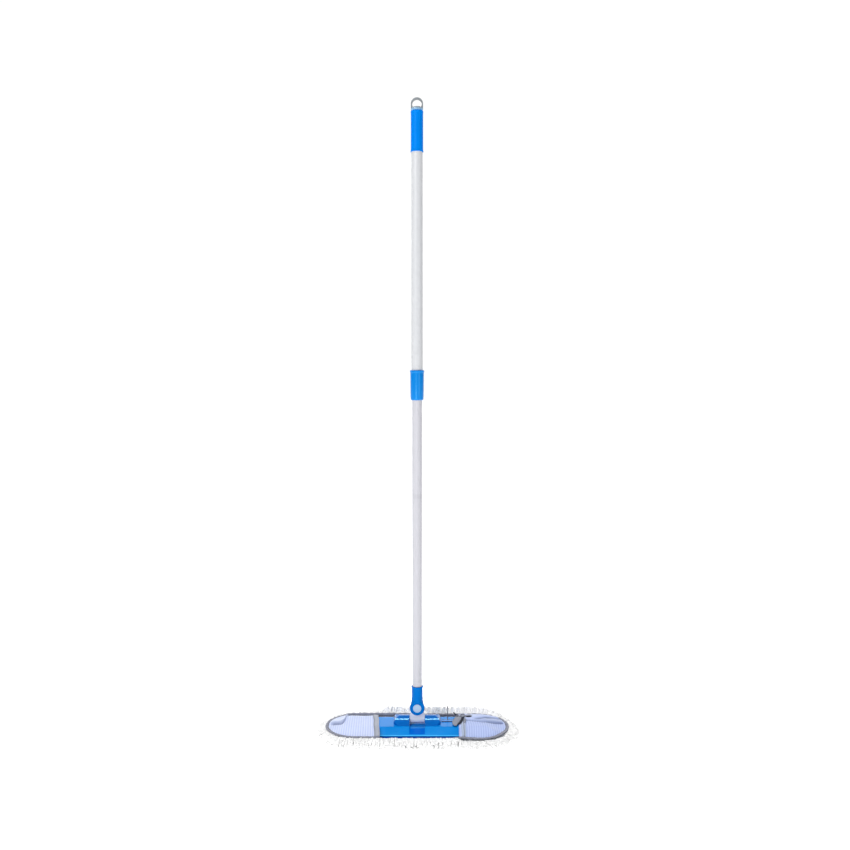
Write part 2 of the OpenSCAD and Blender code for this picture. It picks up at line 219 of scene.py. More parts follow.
def metal(name, colour, rough):
    """Steel with fine drawn lines."""
    n = Nodes(name)
    line = n.noise(300, 3, 0.6, n.scaled(0.05, 1, 1))
    n.set(Base_Color=n.mix(line, shaded(colour, 0.8), colour), Metallic=1.0)
    n.set(Roughness=n.vary(line, rough * 0.8, rough * 1.3))
    n.bump(line, 0.00002)
    return n.mat


def tape(name, colour, pale, pitch=1.1 * MM, sheen=0.3):
    """Woven polyester tape: a twill in two tones, fuzz, slight fading and any darker line painted on it; on the
    binding that line is painted shade along the tape's inner edge.
    """
    n = Nodes(name)
    scale = 1 / pitch / math.pi
    slant = n.turned(0.6, 0.5, EIGHTH_TURN)
    weave = n.node("TexWave", 1, Vector=slant, Scale=scale, Distortion=1.2, Detail=1.0)
    cross = n.node("TexWave", 1, Vector=n.place, Scale=scale, Distortion=0.8, Detail=1.0)
    twill = n.times(weave, cross)
    fade = n.noise(90, 4, 0.6)
    tone = n.mix(n.sum(twill, 0.6, n.times(fade, 0.4)), colour, pale)
    # darker where the piece's line attribute is set: on the binding, painted shade along its inner edge
    n.set(Base_Color=n.mix(n.attribute("line"), tone, shaded(colour, 0.3)))
    n.set(Roughness=n.vary(fade, 0.7, 0.95), Sheen_Weight=sheen, Sheen_Roughness=0.5)
    n.bump(twill, 0.2 * MM)
    return n.mat


def edged_tape(name, dark, light):
    """Woven tape whose stitched or folded lines come from the piece's own line attribute."""
    n = Nodes(name)
    weave = n.node("TexWave", 1, Vector=n.turned(0, 0, EIGHTH_TURN), Scale=320, Distortion=1.0)
    fade = n.noise(110, 4, 0.6)
    tone = n.mix(n.sum(weave, 0.3, n.times(fade, 0.5)), shaded(light, 0.82), light)
    n.set(Base_Color=n.mix(n.attribute("line"), tone, dark))
    n.set(Roughness=n.vary(fade, 0.7, 0.95), Sheen_Weight=0.3)
    n.bump(n.sum(weave, 0.5, fade), 0.2 * MM)
    return n.mat


def mesh_cloth(name, gap, rib, crease):
    """Ribbed knit mesh: pale ribs, darker gaps with small holes, and painted shade in the creases, from the
    cloth's own attributes.
    """
    hole_pitch = 1.6 * MM
    n = Nodes(name)
    ribs = n.attribute("rib")
    holes = n.math("SINE", n.times(n.attribute("across"), 2 * math.pi / hole_pitch))
    holes = n.times(n.rise(holes, -0.2, 0.9), n.math("SUBTRACT", 1.0, ribs))
    fuzz, blotch = n.noise(260, 3, 0.6), n.noise(70, 3, 0.6)
    worn = n.sum(fuzz, 0.25, n.times(blotch, 0.2))
    tone = n.mix(n.sum(ribs, 0.7, worn), gap, rib)
    tone = n.mix(n.times(holes, 0.05), tone, shaded(gap, 0.55))
    # painted shade: the cloth is darkened towards the crease colour in its folds and creases
    n.set(Base_Color=n.mix(n.attribute("crease"), tone, crease))
    n.set(Roughness=n.vary(fuzz, 0.55, 0.8), Sheen_Weight=0.5, Sheen_Roughness=0.4)
    n.bump(n.sum(holes, -0.25, n.times(fuzz, 0.5)), 0.2 * MM)
    return n.mat


def tag_foot(name, middle, dark):
    """The upright pin's foot: blue like the deck under it, with painted shade darkening its front and back edges.
    """
    n = Nodes(name)
    lo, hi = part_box("tag_base")
    half = (hi.y - lo.y) / 2
    # painted shade: the front and back edges are darkened where the foot meets the deck
    ragged = n.sum(n.noise(500, 2), 1.2 * MM, n.away(1, (lo.y + hi.y) / 2))
    n.set(Base_Color=n.mix(n.rise(ragged, half - 2.2 * MM, half - 0.8 * MM), middle, dark))
    n.set(Roughness=n.ramp(n.noise(90, 3), 0.25, 0.4), Specular_IOR_Level=0.4)
    n.bump(n.noise(800, 2), 0.00003)
    return n.mat


def yarn(name, low, high):
    """Fluffy white yarn: fine fibre bump, and soft painted shade in the hollows between its plies."""
    n = Nodes(name)
    fibre, clump = n.noise(FIBRE, 3, 0.7), n.noise(160, 3, 0.6)
    # painted shade: the ply attribute makes the hollows between the plies a little darker
    raised = n.sum(n.attribute("ply"), 0.25, n.sum(fibre, 0.4, n.times(clump, 0.5)))
    n.set(Base_Color=n.mix(raised, low, high))
    n.set(Roughness=n.vary(clump, 0.85, 1.0), Sheen_Weight=0.6, Sheen_Roughness=0.6)
    n.set(Subsurface_Weight=0.4, Subsurface_Radius=(1.0, 1.0, 1.0), Subsurface_Scale=4 * MM)
    n.bump(n.sum(fibre, 0.5, clump), 0.8 * MM)
    return n.mat


CYAN = (0.35, 0.85, 1.0)
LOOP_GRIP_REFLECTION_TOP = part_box("grip")[1].z + 6.5 * MM
LOWER_TUBE_RING_Z = 0.472
MATERIALS = {
    "deck_blue": plastic("deck_blue", (0.0, 0.245, 0.76), 0.1, level=0.34, tint=CYAN, tone=deck_painted_light),
    "hub_blue": plastic("hub_blue", (0.0, 0.14, 0.56), 0.16, level=1.0, tint=CYAN),
    "socket_blue": plastic("socket_blue", (0.0, 0.155, 0.56), 0.2, level=0.07, tint=CYAN),
    "collar_blue": plastic("collar_blue", (0.0, 0.19, 0.61), 0.14, level=0.5, tint=CYAN),
    "grip_blue": plastic("grip_blue", (0.0, 0.19, 0.7), 0.36, 0.00001, level=0.08, tint=CYAN),
    "grey_plastic": plastic("grey_plastic", (0.66, 0.7, 0.84), 0.24),
    "pin_plastic": plastic("pin_plastic", (0.4, 0.55, 0.75), 0.3),
    "loop_grey": cap_plastic("loop_grey", (0.24, 0.265, 0.285), (0.2, 0.4, 0.6), LOOP_GRIP_REFLECTION_TOP),
    "white_plastic": plastic("white_plastic", (0.78, 0.78, 0.76), 0.4),
    "dark_plastic": plastic("dark_plastic", (0.05, 0.05, 0.055), 0.45),
    "dark_nylon": plastic("dark_nylon", (0.16, 0.16, 0.18), 0.5),
    "tube_upper": powder_coat("tube_upper", (0.53, 0.54, 0.56)),
    "tube_lower": powder_coat("tube_lower", (0.49, 0.49, 0.53), LOWER_TUBE_RING_Z),
    "axle_steel": metal("axle_steel", (0.6, 0.6, 0.62), 0.22),
    "screw_steel": metal("screw_steel", (0.55, 0.56, 0.58), 0.35),
    "base_cloth": tape("base_cloth", (0.5, 0.56, 0.72), (0.7, 0.76, 0.9)),
    "binding_tape": tape("binding_tape", (0.19, 0.2, 0.26), (0.31, 0.32, 0.38)),
    "binding_dark": tape("binding_dark", (0.13, 0.14, 0.19), (0.22, 0.23, 0.3), 0.6 * MM),
    "left_hem_tape": edged_tape("left_hem_tape", (0.17, 0.19, 0.25), (0.44, 0.465, 0.54)),
    "right_hem_tape": edged_tape("right_hem_tape", (0.2, 0.21, 0.25), (0.46, 0.55, 0.74)),
    "tie_tape": tape("tie_tape", (0.17, 0.19, 0.25), (0.34, 0.36, 0.44)),
    # painted shade: a near-black copy of the tie tape for the bow's shaded parts
    "tie_dark": tape("tie_dark", (0.006, 0.009, 0.022), (0.02, 0.026, 0.045), sheen=0.0),
    "mesh_left": mesh_cloth("mesh_left", (0.42, 0.5, 0.82), (0.66, 0.73, 0.93), (0.17, 0.21, 0.36)),
    "mesh_right": mesh_cloth("mesh_right", (0.29, 0.37, 0.7), (0.49, 0.58, 0.87), (0.06, 0.085, 0.18)),
    "white_yarn": yarn("white_yarn", (0.97, 0.97, 0.97), (0.995, 0.995, 0.995)),
    "white_pile": yarn("white_pile", (0.8, 0.8, 0.8), (0.92, 0.92, 0.92)),
    "tag_foot": tag_foot("tag_foot", (0.08, 0.3, 0.72), (0.012, 0.03, 0.13)),
}
NODE_MATERIALS = {"upper_tube": "tube_upper", "lower_tube": "tube_lower", "tag_base": "tag_foot"}
slots = {s["node"]: s["material_slot"] for s in frame["record"]["subparts"]}
for name, cad in NODES.items():
    chosen = NODE_MATERIALS.get(name, slots[name])
    if chosen in MATERIALS:
        for s in cad.material_slots:
            s.material = MATERIALS[chosen]


# ---------------------------------------------------------------- mesh helpers

def piece(name, verts, faces, material, body="head"):
    """A smooth mesh that rides on a body."""
    data = bpy.data.meshes.new(name)
    data.from_pydata([tuple(v) for v in verts], [], [tuple(f) for f in faces])
    data.validate()
    data.materials.append(MATERIALS[material])
    for p in data.polygons:
        p.use_smooth = True
    made = bpy.data.objects.new(name, data)
    bpy.context.scene.collection.objects.link(made)
    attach(made, body)
    return made


def paint(made, **values):
    """Gives a mesh's points named numbers that its material reads."""
    for key, numbers in values.items():
        layer = made.data.attributes.new(key, "FLOAT", "POINT")
        layer.data.foreach_set("value", np.asarray(numbers, np.float32).ravel())


def thicken(made, thickness):
    """Gives a single sheet its thickness, downwards."""
    thick = made.modifiers.new("thickness", "SOLIDIFY")
    thick.thickness, thick.offset = thickness, -1


def grid_faces(rows, cols, wrap=False):
    """Quads between rows of points; wrap joins the last column to the first."""
    i, j = np.meshgrid(np.arange(rows - 1), np.arange(cols if wrap else cols - 1), indexing="ij")
    k = (j + 1) % cols
    quads = np.stack([i * cols + j, i * cols + k, (i + 1) * cols + k, (i + 1) * cols + j], -1)
    return quads.reshape(-1, 4)


def unit(rows, least=0.0):
    """Rows of vectors, each scaled to length 1."""
    return rows / np.maximum(np.linalg.norm(rows, axis=1, keepdims=True), least)


def tube(path, radius, around, jitter=0.0, up=(0, 0, 1)):
    """A closed tube round a path with a radius at each point; jitter roughens it like yarn."""
    path = np.asarray(path, float)
    n = len(path)
    ahead = unit(np.gradient(path, axis=0))
    side = unit(np.cross(ahead, up), 1e-9)
    over = np.cross(side, ahead)
    turn = np.linspace(0, 2 * np.pi, around, endpoint=False)
    r = np.asarray(radius, float)[:, None] * (1 + jitter * rng.uniform(-1, 1, (n, around)))
    rings = (
        path[:, None]
        + side[:, None] * (r * np.cos(turn))[..., None]
        + over[:, None] * (r * np.sin(turn))[..., None]
    )
    faces = [list(f)[::-1] for f in grid_faces(n, around, wrap=True)]
    faces.append(list(range(around)))
    faces.append(list(range(n * around - 1, (n - 1) * around - 1, -1)))
    return rings.reshape(-1, 3), faces


class Heap:
    """Many small closed forms gathered into one mesh."""

    def __init__(self):
        self.verts, self.faces, self.count = [], [], 0

    def add(self, verts, faces):
        self.verts.append(verts)
        self.faces += [[i + self.count for i in f] for f in faces]
        self.count += len(verts)

    def piece(self, name, material):
        return piece(name, np.concatenate(self.verts), self.faces, material)


CORNERS = [(1, -1), (1, 1), (-1, 1), (-1, -1)]


def outline(length, width, corner, n):
    """n points and outward normals, evenly spaced round a rounded rectangle, from the front's middle."""
    straight_x, straight_y, arc = length - 2 * corner, width - 2 * corner, math.pi * corner / 2
    total = 2 * (straight_x + straight_y) + 4 * arc
    half = np.array([straight_x, straight_y]) / 2
    points, normals = [], []
    for s in (np.arange(n) + 0.5) / n * total:
        s = (s + straight_x / 2) % total
        quarter = 0
        for run, turns in ((straight_x, 0), (arc, 1), (straight_y, 0), (arc, 1)) * 2:
            if s <= run:
                break
            s -= run
            quarter += turns
        angle = quarter * math.pi / 2 - math.pi / 2
        if turns:
            angle += s / corner
        normal = np.array([math.cos(angle), math.sin(angle)])
        if turns:
            points.append(CORNERS[quarter % 4] * half + corner * normal)
        else:
            along = np.array([-normal[1], normal[0]])
            points.append(CORNERS[quarter % 4 - 1] * half + corner * normal + along * s)
        normals.append(normal)
    return np.array(points), np.array(normals)


def bell(x, centre, width):
    return np.exp(-(((x - centre) / width) ** 2))


def step(x, a, b):
    """0 below a, 1 above b, smooth between."""
    t = np.clip((x - a) / (b - a), 0, 1)
    return t * t * (3 - 2 * t)


def span(x, a, b, c, d):
    """0 outside a to d, 1 from b to c, smooth between."""
    return step(x, a, b) * (1 - step(x, c, d))


# ---------------------------------------------------------------- the pad's bound edge

bind_lo, bind_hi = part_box("binding")
PAD_L, PAD_W = bind_hi.x - bind_lo.x, bind_hi.y - bind_lo.y
PAD_R = PAD_W / 2 - 0.5 * MM
TAPE_W, TAPE_HALF_THICK = 8.5 * MM, 1.5 * MM
RIM_Z, RIM_WAVE = 16.5 * MM, 1.2 * MM
DROOP, TUCK = 2.6, 3.6       # millimetres


def ring_height(x, y):
    """Height of the bound edge: at the front it is tucked under the deck and droops right of it."""
    z = RIM_Z + RIM_WAVE * np.sin(x * 31) * np.cos(y * 23)
    front = 1 - step(y, -0.05, -0.01)
    droop = span(x, 0.07, 0.125, 0.14, 0.17) * front
    tucked = span(x, -0.08, -0.06, 0.06, 0.085) * front
    return z - (DROOP * droop + TUCK * tucked) * MM


def standing(x, y):
    """1 where the binding stands up, at the left of the back."""
    return step(y, 0.02, 0.05) * span(-x, 0.0, 0.03, 0.14, 0.155)


def ring_tilt(x, y):
    """How far the tape stands up, in radians."""
    return 0.3 + 0.75 * standing(x, y) - 0.1 * step(y, 0.02, 0.055)


def tape_frame(x, y, normal):
    """Directions at a point of the outline: outwards, across the tape, and up from its face."""
    tilt = ring_tilt(x, y)
    out = np.array([*normal, 0])
    wide = out * math.cos(tilt) + UP * math.sin(tilt)
    high = UP * math.cos(tilt) - out * math.sin(tilt)
    return out, wide, high


def make_binding():
    """The tape rolled round the pad's edge, with the thread's groove along it."""
    n = 520
    section = [        # across and up, in halves of the tape's width and thickness
        (-1.0, 0.0), (-0.96, 0.6), (-0.8, 0.9), (-0.45, 0.95), (-0.2, 0.6),
        (0.0, 0.95), (0.35, 1.1), (0.7, 1.0), (0.93, 0.6), (1.0, 0.0),
        (0.93, -0.6), (0.6, -1.0), (0.0, -1.05), (-0.6, -1.0), (-0.93, -0.6),
    ]
    profile = np.array(section) * [TAPE_W / 2, TAPE_HALF_THICK]
    m = len(profile)
    verts = []
    for i, ((x, y), normal) in enumerate(zip(*outline(PAD_L, PAD_W, PAD_R, n))):
        out, wide, high = tape_frame(x, y, normal)
        pucker = 0.35 * MM * math.sin(i * 0.9) + 0.25 * MM * math.sin(i * 0.37 + 1)
        middle = np.array([x, y, ring_height(x, y) + pucker]) - out * TAPE_W / 2
        verts += [middle + wide * a + high * b for a, b in profile]
    faces = [list(f)[::-1] for f in grid_faces(n, m, wrap=True)]
    last = (n - 1) * m
    faces += [[last + j, j, (j + 1) % m, last + (j + 1) % m] for j in range(m)]
    made = piece("binding_roll", verts, faces, "binding_tape")
    # painted shade along the tape's inner edge, where the cloth tucks under it
    inner_edge_shade = np.interp(profile[:, 0] / (TAPE_W / 2), (-0.3, 0.05), (0.75, 0))
    paint(made, line=np.tile(inner_edge_shade, n))
    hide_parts("binding")
    return made


def make_stitches():
    """Thread dashes along the tape's groove."""
    dash = [        # along, up and the thread's radius, in millimetres
        (-1.2, -0.35, 0.15), (-0.9, 0.1, 0.27), (0, 0.25, 0.3), (0.9, 0.1, 0.27), (1.2, -0.35, 0.15),
    ]
    heap = Heap()
    for (x, y), normal in zip(*outline(PAD_L, PAD_W, PAD_R, 260)):
        out, wide, high = tape_frame(x, y, normal)
        along = np.array([-normal[1], normal[0], 0])
        middle = np.array([x, y, ring_height(x, y)]) - out * TAPE_W / 2
        groove = middle - wide * TAPE_W * 0.1 + high * 1.2 * MM
        path = [groove + along * a * MM + high * b * MM for a, b, _ in dash]
        heap.add(*tube(path, [r * MM for *_, r in dash], 6))
    made = heap.piece("binding_stitches", "binding_dark")
    return made


# ---------------------------------------------------------------- pockets

CLOTH_COLS, CLOTH_ROWS, HEM_COLS = 118, 96, 25
CLOTH_INSET, CLOTH_LIFT = 6 * MM, 0.9 * MM
RIB_PITCH, RIB_HEIGHT = 4.5 * MM, 0.32 * MM
DRAPE_ROUNDS = 900

deck_tree = BVHTree.FromObject(NODES["deck"], bpy.context.evaluated_depsgraph_get())


def deck_top(x, y):
    """The deck's height at x, y, or far below where it isn't."""
    hit = deck_tree.ray_cast(Vector((x, y, 60 * MM)), Vector((0, 0, -1)))
    return hit[0].z if hit[0] else -1.0


def half_width(x, inset):
    """Half the pad's width at x, inset from its edge."""
    r = PAD_R - inset
    centre_x, centre_y = PAD_L / 2 - PAD_R, PAD_W / 2 - PAD_R
    beyond = np.clip(np.abs(x) - centre_x, 0, r)
    return centre_y + np.sqrt(np.maximum(r * r - beyond * beyond, 0))


def drape(xs):
    """A cloth stretched from edge to edge of the pad and over the deck: rows of points along x."""
    s = np.sin(np.linspace(-math.pi / 2, math.pi / 2, CLOTH_ROWS) * 0.9) / math.sin(math.pi * 0.45)
    x = np.repeat(xs[:, None], CLOTH_ROWS, 1)
    y = half_width(x, CLOTH_INSET) * s[None]
    floor = np.array([[deck_top(a, b) for a, b in zip(*r)] for r in zip(x, y)]) + CLOTH_LIFT
    edge_z = ring_height(x, y) + (0.6 - 4.0 * standing(x, y)) * MM
    z = np.maximum(edge_z, floor)
    fixed = np.zeros_like(z, bool)
    fixed[:, 0] = fixed[:, -1] = fixed[-1] = True
    for _ in range(DRAPE_ROUNDS):
        near = z.copy()
        near[1:-1, 1:-1] = (
            z[:-2, 1:-1] * 0.2 + z[2:, 1:-1] * 0.2 + z[1:-1, :-2] * 0.3 + z[1:-1, 2:] * 0.3
        )
        near[0, 1:-1] = (z[0, :-2] + z[0, 2:]) * 0.4 + z[1, 1:-1] * 0.2
        z = np.where(fixed, edge_z, np.maximum(near, floor))
    return x, y, z, floor


def bent(x, xs, ys):
    """Height y, in metres, of a soft line through points given in millimetres."""
    return sum(np.interp(x * 1000 + d, xs, ys) for d in (-6, -4, -2, 0, 2, 4, 6)) / 7 * MM


def folds_left(x, y):
    """The slack lip of cloth at the back of the left tip: its height, its slackness, which is painted pale as if
    lit, and the painted shade in its crease.
    """
    line_x, line_y = (-176, -169, -158, -148, -144.5, -142.4, -141, -139), (4, 2.5, 0.5, -2.5, 3, 14, 30, 46)
    past = y - np.interp(x * 1000, line_x, line_y) * MM
    inside = step(-x, 0.137, 0.143) * (1 - 0.7 * step(-x, 0.164, 0.173))
    puff = step(past, 0, 3 * MM) * (1 - 0.75 * step(past, 6 * MM, 28 * MM))
    line = bell(past, -1 * MM, 3.8 * MM)
    # the last value is painted shade along the crease
    return inside * MM * (5.2 * puff - 3.0 * line), inside * step(past, 0, 2 * MM), 0.95 * inside * line


def folds_right(x, y):
    """A long slack roll along the back of the right pocket: its height, its slackness, which is painted pale as
    if lit, and the painted shade in its creases and on the band under the roll.
    """
    low = bent(x, (88, 94, 108, 121, 133, 145, 158, 170), (4, 3.5, 1.5, -3.5, -7.5, -2, 4, 10))
    high = bent(x, (110, 127, 136, 147, 158, 170), (6, 8.5, 12, 19.5, 26, 28))
    under, over = y - low, y - high
    run = span(x, 0.086, 0.098, 0.166, 0.173)
    far = step(x, 0.108, 0.125)
    sag = bell(under, 0, 1.9 * MM)
    deep = far * bell(over, 0, 3.4 * MM)
    band = far * step(under, 0, 2 * MM) * (1 - step(over, -1 * MM, 2 * MM))
    puff = step(under, 0, 3 * MM) * (1 - 0.7 * step(over, 8 * MM, 26 * MM))
    # painted shade: dark in the fold and the deep crease, lighter on the band between them
    crease = np.minimum(1, 0.55 * sag + deep + 0.22 * band)
    return run * MM * (3.6 * puff - 2.4 * sag - 4.5 * deep), run * step(under, 0, 3 * MM), run * crease


def skew_left(y):
    """How far the left pocket's mouth runs off square."""
    return -0.075 * y


def skew_right(y):
    """How far the right pocket's mouth runs off square."""
    return 0.02 * y - 1.4 * MM


def waver_left(x, y):
    """How far the left pocket's ribs wander."""
    return 0.2 * MM * np.sin(y * 60)


def waver_right(x, y):
    """How far the right pocket's ribs wander: most near the tied mouth."""
    pulled = 1.6 * np.sin(y * 48 + 0.6) * (1 - step(x, 0.1, 0.135))
    return MM * (pulled + 0.6 * np.sin(y * 90 + x * 60))


def make_pocket(name, node, side, folds, waver, skew, material):
    """A ribbed mesh pocket, with side -1 at the left or 1 at the right: the piece and its cloth's points."""
    lo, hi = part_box(node)
    mouth = min(abs(lo.x), abs(hi.x))
    tip = PAD_L / 2 - 6.5 * MM
    x, y, z, floor = drape(side * np.linspace(mouth, tip, CLOTH_COLS))
    rise, slack, crease = folds(x, y)
    rib = 0.5 + 0.5 * np.cos(2 * math.pi * (x + waver(x, y)) / RIB_PITCH)
    # painted light: slack cloth takes the pale rib colour without stripes, as if lit where it bulges up
    rib = rib * (1 - slack) + 0.9 * slack
    x = x + skew(y) * np.linspace(1, 0, CLOTH_COLS)[:, None] ** 2
    # waves and folds fade out towards the sewn edges
    from_side = np.minimum(1, (1 - np.abs(y) / half_width(x, CLOTH_INSET)) * 8)
    edge = from_side * np.minimum(1, (tip - np.abs(x)) / (5 * MM))
    soft = 0.5 * MM * np.sin(x * 95 + y * 60) * np.sin(y * 71 - x * 40)
    soft += 0.3 * MM * np.sin(x * 210 + 1) * np.sin(y * 150)
    z = z + (soft + rise) * edge
    z = np.maximum(z, floor - 0.2 * MM) + RIB_HEIGHT * rib
    faces = grid_faces(CLOTH_COLS, CLOTH_ROWS)
    if side < 0:
        faces = faces[:, ::-1]
    made = piece(name, np.stack([x, y, z], -1).reshape(-1, 3), faces, material)
    # the crease value is painted shade, faded out towards the sewn edges
    paint(made, rib=rib, across=y + 0.3 * x, crease=crease * edge)
    thicken(made, 0.5 * MM)
    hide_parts(node)
    return made, (x, y, z)


def make_hem(name, node, cloth, skew, lines):
    """The tape on a pocket's mouth: it follows the cloth. lines are its folded edges and sewn lines,
    each with its place across the tape, its width and its depth."""
    lo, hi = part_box(node)
    x, y, z = cloth
    rows = y.shape[1]
    order = np.argsort(x[:, rows // 2])
    verts, marks = [], []
    for t in np.linspace(0, 1, HEM_COLS):
        a = lo.x + (hi.x - lo.x) * t
        yy = np.array([np.interp(a + skew(y[0, j]), x[order, j], y[order, j]) for j in range(rows)])
        at = a + skew(yy)
        zz = np.array([np.interp(at[j], x[order, j], z[order, j]) for j in range(rows)])
        crown = 0.5 * MM * (1 - abs(2 * t - 1) ** 6) + 0.45 * MM
        mark = sum(bell(t, centre, wide) * depth for centre, wide, depth in lines)
        ripple = 0.35 * MM * np.sin(yy * 130 + 1.5)
        verts.append(np.stack([at + ripple, yy, zz + crown - 0.35 * MM * mark], -1))
        marks.append(np.full(rows, min(1.0, mark)))
    made = piece(name, np.concatenate(verts), grid_faces(HEM_COLS, rows), name)
    paint(made, line=marks)
    thicken(made, 0.9 * MM)
    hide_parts(node)
    return made


# ---------------------------------------------------------------- yarn

YARN_STEPS, YARN_SIDES = 17, 8
TWIST, PLY_DEPTH = 13, 0.16        # radians along a yarn, and how far its two plies stand out


def strand(p, out, start, reach, z0, z1, radius, lift):
    """One yarn of the fringe, two plies twisted together: it leaves the pad at p and falls outwards."""
    t = np.append(np.linspace(0, 0.9, YARN_STEPS - 3), [0.95, 0.985, 1.0])
    along = np.array([-out[1], out[0]])
    sway = rng.normal(0, 1.5 * MM)
    far = start + (reach - start) * t
    flat = p + out[None] * far[:, None] + along[None] * (sway * t**1.5)[:, None]
    z = z0 + (z1 - z0) * t**1.7 + lift * np.sin(t * math.pi * 0.62)
    fat = radius * np.array([0.4, 0.9] + [1.0] * (YARN_STEPS - 5) + [0.93, 0.72, 0.3])
    path = np.column_stack([flat, np.maximum(z, fat * 1.2)])
    verts, faces = tube(path, fat, YARN_SIDES, 0.08)
    turn = np.linspace(0, 2 * np.pi, YARN_SIDES, endpoint=False)
    ply = np.cos(2 * (turn[None] - (t * TWIST + rng.uniform(0, 6))[:, None]))
    rings = verts.reshape(YARN_STEPS, YARN_SIDES, 3)
    lobed = path[:, None] + (rings - path[:, None]) * (1 + PLY_DEPTH * ply)[..., None]
    return lobed.reshape(-1, 3), faces, ply.ravel()


FRINGE = [
    # name, yarns, start, share of reach, start height, end height, radius, lift, hump, droop
    ("fringe_low", 245, -12, 1.0, 4.5, 2.6, 2.5, 0.6, 0, 0),
    ("fringe_under", 250, -9, 1.0, 8.0, 3.4, 2.4, 1.5, 0.25, 1),
    ("fringe_mid", 245, -6, 0.96, 11.0, 5.0, 2.3, 2.2, 0.6, 3),
    ("fringe_high", 240, -3, 0.82, 13.5, 8.0, 2.2, 2.2, 0.95, 5),
    ("fringe_top", 245, -0.5, 0.56, 14.6, 11.5, 2.0, 1.6, 1.0, 7.5),
]


def make_fringe():
    """Layers of yarns round the pad: they hump up behind the deck and droop at the front's right."""
    fringe_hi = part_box("fringe")[1]
    reach_x, reach_y = fringe_hi.x - bind_hi.x, fringe_hi.y - bind_hi.y
    made = []
    for name, count, start, share, z0, z1, radius, lift, hump_share, droop_mm in FRINGE:
        heap, plies = Heap(), []
        for (x, y), out in zip(*outline(PAD_L, PAD_W, PAD_R, count)):
            reach = math.hypot(out[0] * reach_x, out[1] * reach_y)
            back = step(y, 0.02, 0.055)
            middle = step(x, -0.1, -0.06) * (1 - 0.6 * step(x, 0.12, 0.165))
            hump = back * (1.5 + 9.5 * middle) * MM * hump_share
            droop = droop_mm * MM * step(x, 0.075, 0.092) * (1 - step(y, -0.05, -0.01))
            turn = rng.normal(0, 0.14)
            c, s = math.cos(turn), math.sin(turn)
            out = np.array([out[0] * c - out[1] * s, out[0] * s + out[1] * c])
            size = radius * MM * rng.uniform(0.85, 1.15)
            length = (reach * share - size) * rng.uniform(0.9, 1.03)
            from_z = z0 * MM - droop + rng.normal(0, 0.6 * MM)
            to_z = z1 * MM - droop * 0.6 + hump + rng.normal(0, 0.8 * MM)
            arch = (lift + rng.normal(0, 0.7)) * MM + hump * 0.35
            verts, faces, ply = strand(np.array([x, y]), out, start * MM, length, from_z, to_z, size, arch)
            heap.add(verts, faces)
            plies.append(ply)
        m = heap.piece(name, "white_yarn")
        # ply also gives the yarn its painted shade between the plies
        paint(m, ply=np.concatenate(plies))
        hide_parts("fringe")
        made.append(m)
    return made


def make_sole():
    """Short tufts all over the underside."""
    pitch, tuft = 8.6 * MM, 4.9 * MM
    heights = np.array([0.3, 0.6, 1.3, 2.6, 4.4, 6.4, 8.6]) * MM
    shape = np.array([0.35, 0.62, 0.82, 0.97, 1.0, 0.95, 0.8])
    heap = Heap()
    lo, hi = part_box("sole_pile")
    below_top = 1 - heights / hi.z
    for row, y in enumerate(np.arange(lo.y + 5 * MM, hi.y - 3 * MM, pitch * 0.866)):
        for x in np.arange(lo.x + 5 * MM + (row % 2) * pitch / 2, hi.x - 3 * MM, pitch):
            if abs(y) > half_width(np.array(x), 4 * MM) or abs(x) > hi.x - 5 * MM:
                continue
            root = np.array([x, y]) + rng.normal(0, 0.6 * MM, 2)
            lean = rng.normal(0, 1.2 * MM, 2)
            fat = tuft * rng.uniform(0.9, 1.1) * shape
            path = np.column_stack([root + lean * below_top[:, None], heights])
            verts, faces = tube(path, fat, 9, 0.12, up=(0, 1, 0))
            heap.add(np.maximum(verts, [-9, -9, 0.1 * MM]), faces)
    made = heap.piece("sole_tufts", "white_pile")
    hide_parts("sole_pile")
    return made


def make_base():
    """The pad's base cloth, seen in the gap behind the deck: it rises to the bound edge."""
    cols, rows, flat_z = 150, 40, 9.0 * MM
    tip = PAD_L / 2 - 4 * MM
    x = np.repeat(np.linspace(-tip, tip, cols)[:, None], rows, 1)
    s = np.linspace(-1, 1, rows)[None]
    y = half_width(x, 3 * MM) * s
    rim = step(np.abs(s) * np.ones_like(x), 0.8, 1.0)
    rim = np.maximum(rim, step(np.abs(x), PAD_L / 2 - 16 * MM, tip))
    z = flat_z + (ring_height(x, y) - 1.2 * MM - flat_z) * rim
    made = piece("base_sheet", np.stack([x, y, z], -1).reshape(-1, 3), grid_faces(cols, rows), "base_cloth")
    thicken(made, 0.6 * MM)
    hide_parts("pad_cloth")
    return made


# ---------------------------------------------------------------- tie

TIE_HALF_THICK = 0.55 * MM
TIE_KNOT = np.array([0.089, 0.012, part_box("right_hem")[1].z])


def ribbon(path, widths, across):
    """A flat tape along a path; across gives its width direction at each point."""
    across = unit(across)
    face = np.cross(unit(np.gradient(path, axis=0)), across)
    ring = [
        (-1, 0), (-0.8, 0.9), (-0.3, 1.05), (0.3, 1.05), (0.8, 0.9),
        (1, 0), (0.8, -0.9), (0.3, -1.05), (-0.3, -1.05), (-0.8, -0.9),
    ]
    verts = [
        p + a * (w / 2 * u) + f * (TIE_HALF_THICK * v)
        for p, a, f, w in zip(path, across, face, widths)
        for u, v in ring
    ]
    n, m = len(path), len(ring)
    faces = [list(f) for f in grid_faces(n, m, wrap=True)]
    faces += [list(range(m))[::-1], list(range((n - 1) * m, n * m))]
    return np.array(verts), faces


def curve(points, n):
    """A smooth path through points (Catmull-Rom)."""
    p = np.asarray(points, float)
    p = np.vstack([2 * p[0] - p[1], p, 2 * p[-1] - p[-2]])
    out = []
    for t in np.linspace(0, len(p) - 3 - 1e-9, n):
        i = int(t)
        u = t - i
        a, b, c, d = p[i : i + 4]
        square, cube = 2 * a - 5 * b + 4 * c - d, 3 * b - a - 3 * c + d
        out.append(0.5 * (2 * b + (c - a) * u + square * u**2 + cube * u**3))
    return np.array(out)


